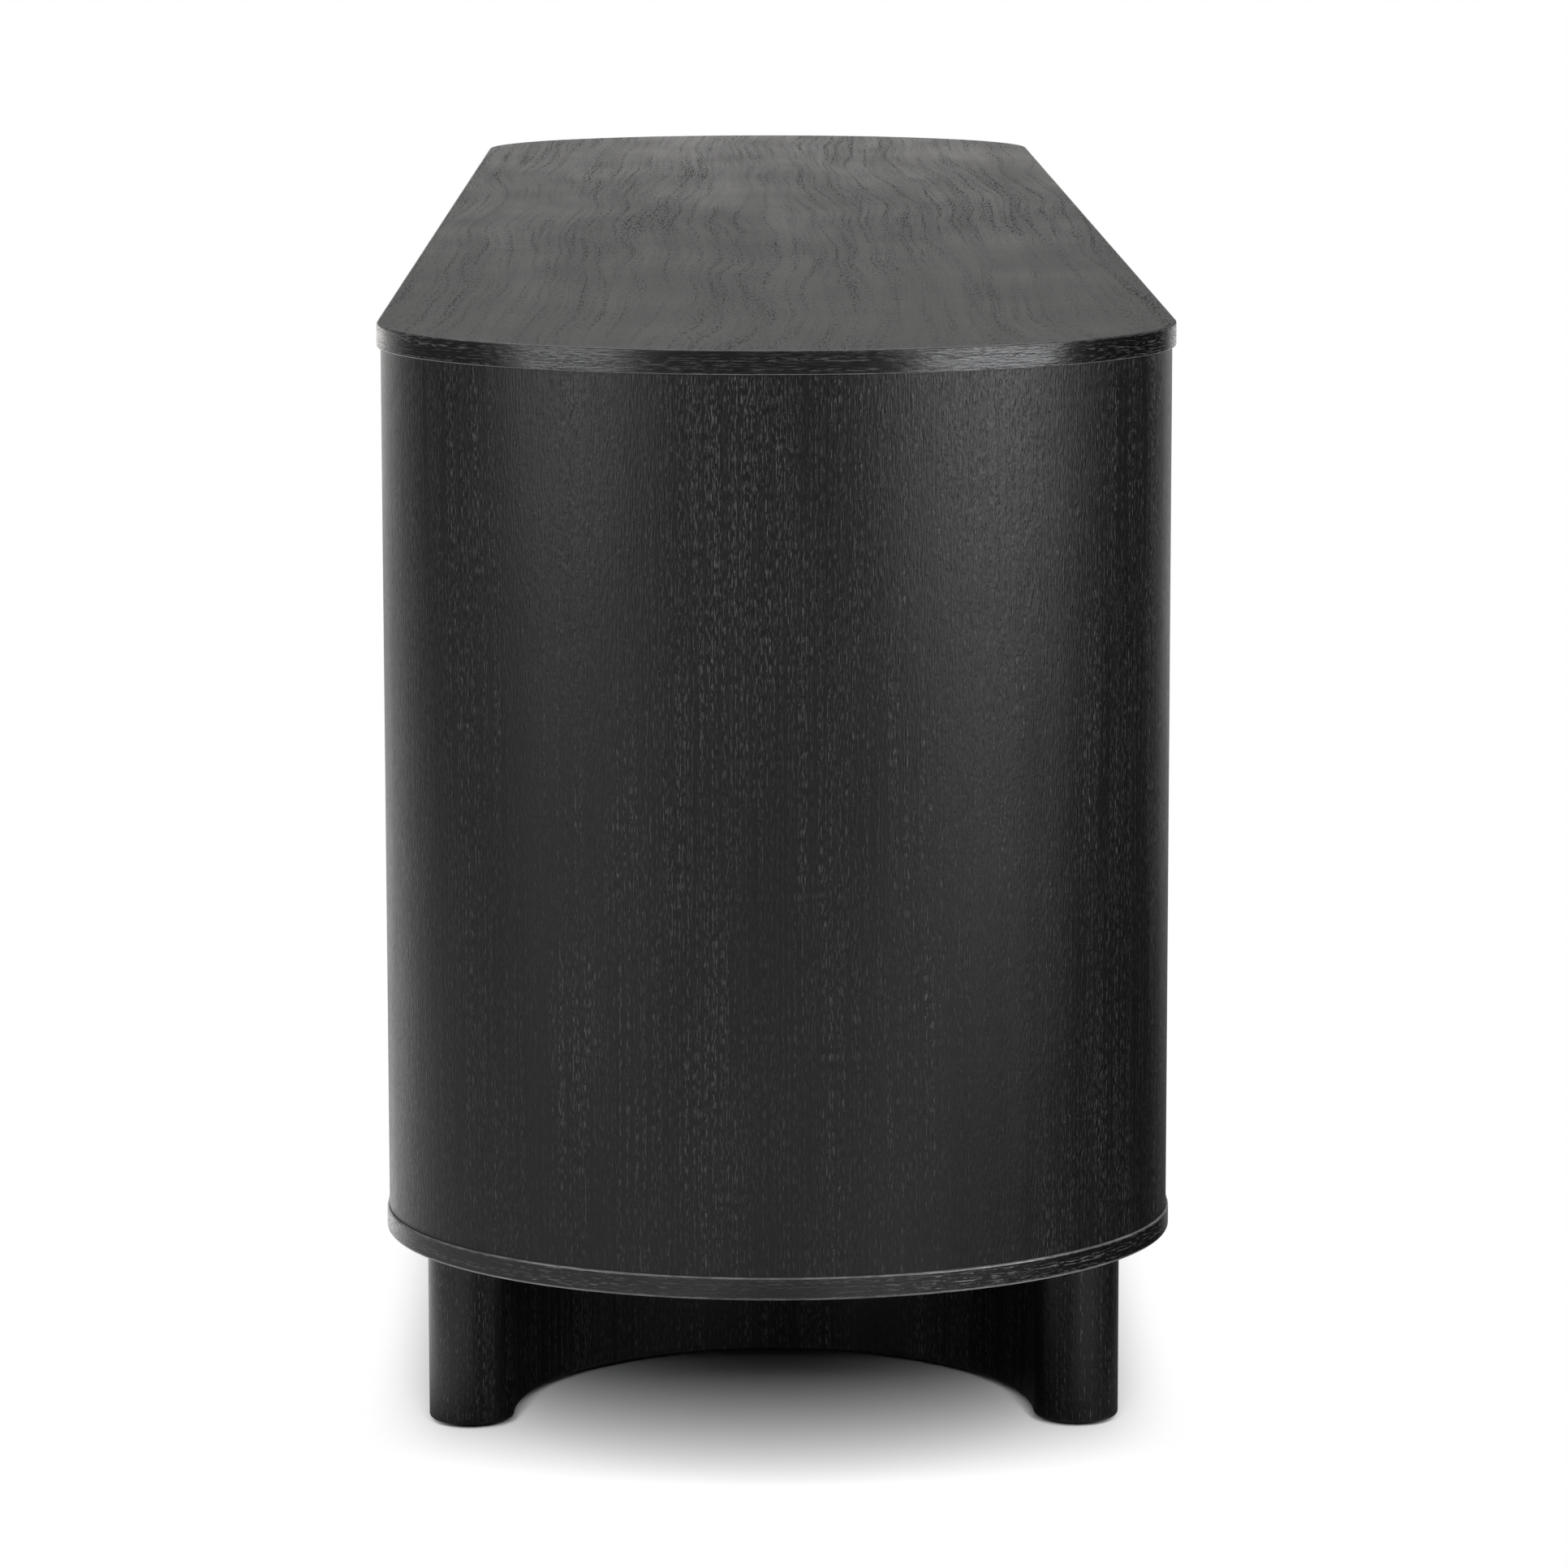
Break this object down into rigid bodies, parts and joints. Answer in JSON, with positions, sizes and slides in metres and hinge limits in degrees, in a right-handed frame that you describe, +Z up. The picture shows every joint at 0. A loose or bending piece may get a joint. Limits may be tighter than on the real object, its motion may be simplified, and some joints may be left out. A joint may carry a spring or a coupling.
{
  "type": "dresser with drawers",
  "caption": "Long low black dresser with rounded ends, a thin top, sliding drawers with finger scoops and two curved C-shaped legs.",
  "frame": {"origin": "on the floor, under the middle of the dresser", "axes": "+Z up, +X along the length towards the right end as seen from the front, drawers open towards -Y"},
  "size_m": [2.1338, 0.457, 0.73],
  "materials": {
    "black_wood": "open-grain hardwood stained black, satin clear coat, grain and pores visible",
    "carcass_wood": "plain boards stained black, matt",
    "drawer_wood": "clear-lacquered pale hardwood",
    "drawer_ply": "clear-lacquered plywood",
    "runner_steel": "zinc-plated cold-rolled steel",
    "fastener_steel": "blackened steel",
    "insert_brass": "turned brass",
    "glide_plastic": "moulded black nylon",
    "bumper_rubber": "soft dark rubber dots"
  },
  "bodies": {
    "cabinet": {"top_panel": "black_wood", "base_panel": "black_wood", "end_panel_left": "black_wood", "end_panel_right": "black_wood", "end_ribs_left": "carcass_wood", "end_ribs_right": "carcass_wood", "back_panel": "black_wood", "side_upright_left": "carcass_wood", "side_upright_right": "carcass_wood", "divider_left": "carcass_wood", "divider_right": "carcass_wood", "mid_rails": "carcass_wood", "top_stretchers": "carcass_wood", "leg_left": "black_wood", "leg_right": "black_wood", "leg_inserts": "insert_brass", "leg_bolts": "fastener_steel", "glides": "glide_plastic", "back_screws": "fastener_steel", "front_bumpers": "bumper_rubber", "cabinet_runners": "runner_steel"},
    "drawer_lower_left": {"drawer_lower_left_front": "black_wood", "drawer_lower_left_side_left": "drawer_wood", "drawer_lower_left_side_right": "drawer_wood", "drawer_lower_left_back": "drawer_wood", "drawer_lower_left_bottom": "drawer_ply", "drawer_lower_left_runners": "runner_steel"},
    "drawer_lower_middle": {"drawer_lower_middle_front": "black_wood", "drawer_lower_middle_side_left": "drawer_wood", "drawer_lower_middle_side_right": "drawer_wood", "drawer_lower_middle_back": "drawer_wood", "drawer_lower_middle_bottom": "drawer_ply", "drawer_lower_middle_runners": "runner_steel"},
    "drawer_lower_right": {"drawer_lower_right_front": "black_wood", "drawer_lower_right_side_left": "drawer_wood", "drawer_lower_right_side_right": "drawer_wood", "drawer_lower_right_back": "drawer_wood", "drawer_lower_right_bottom": "drawer_ply", "drawer_lower_right_runners": "runner_steel"},
    "drawer_upper_left": {"drawer_upper_left_front": "black_wood", "drawer_upper_left_side_left": "drawer_wood", "drawer_upper_left_side_right": "drawer_wood", "drawer_upper_left_back": "drawer_wood", "drawer_upper_left_bottom": "drawer_ply", "drawer_upper_left_runners": "runner_steel"},
    "drawer_upper_middle": {"drawer_upper_middle_front": "black_wood", "drawer_upper_middle_side_left": "drawer_wood", "drawer_upper_middle_side_right": "drawer_wood", "drawer_upper_middle_back": "drawer_wood", "drawer_upper_middle_bottom": "drawer_ply", "drawer_upper_middle_runners": "runner_steel"},
    "drawer_upper_right": {"drawer_upper_right_front": "black_wood", "drawer_upper_right_side_left": "drawer_wood", "drawer_upper_right_side_right": "drawer_wood", "drawer_upper_right_back": "drawer_wood", "drawer_upper_right_bottom": "drawer_ply", "drawer_upper_right_runners": "runner_steel"}
  },
  "joints": [
    {"name": "slide_lower_left", "type": "slide", "parent": "cabinet", "child": "drawer_lower_left", "axis": [0, -1, 0], "range_m": [0, 0.29]},
    {"name": "slide_lower_middle", "type": "slide", "parent": "cabinet", "child": "drawer_lower_middle", "axis": [0, -1, 0], "range_m": [0, 0.29]},
    {"name": "slide_lower_right", "type": "slide", "parent": "cabinet", "child": "drawer_lower_right", "axis": [0, -1, 0], "range_m": [0, 0.29]},
    {"name": "slide_upper_left", "type": "slide", "parent": "cabinet", "child": "drawer_upper_left", "axis": [0, -1, 0], "range_m": [0, 0.29]},
    {"name": "slide_upper_middle", "type": "slide", "parent": "cabinet", "child": "drawer_upper_middle", "axis": [0, -1, 0], "range_m": [0, 0.29]},
    {"name": "slide_upper_right", "type": "slide", "parent": "cabinet", "child": "drawer_upper_right", "axis": [0, -1, 0], "range_m": [0, 0.29]}
  ]
}
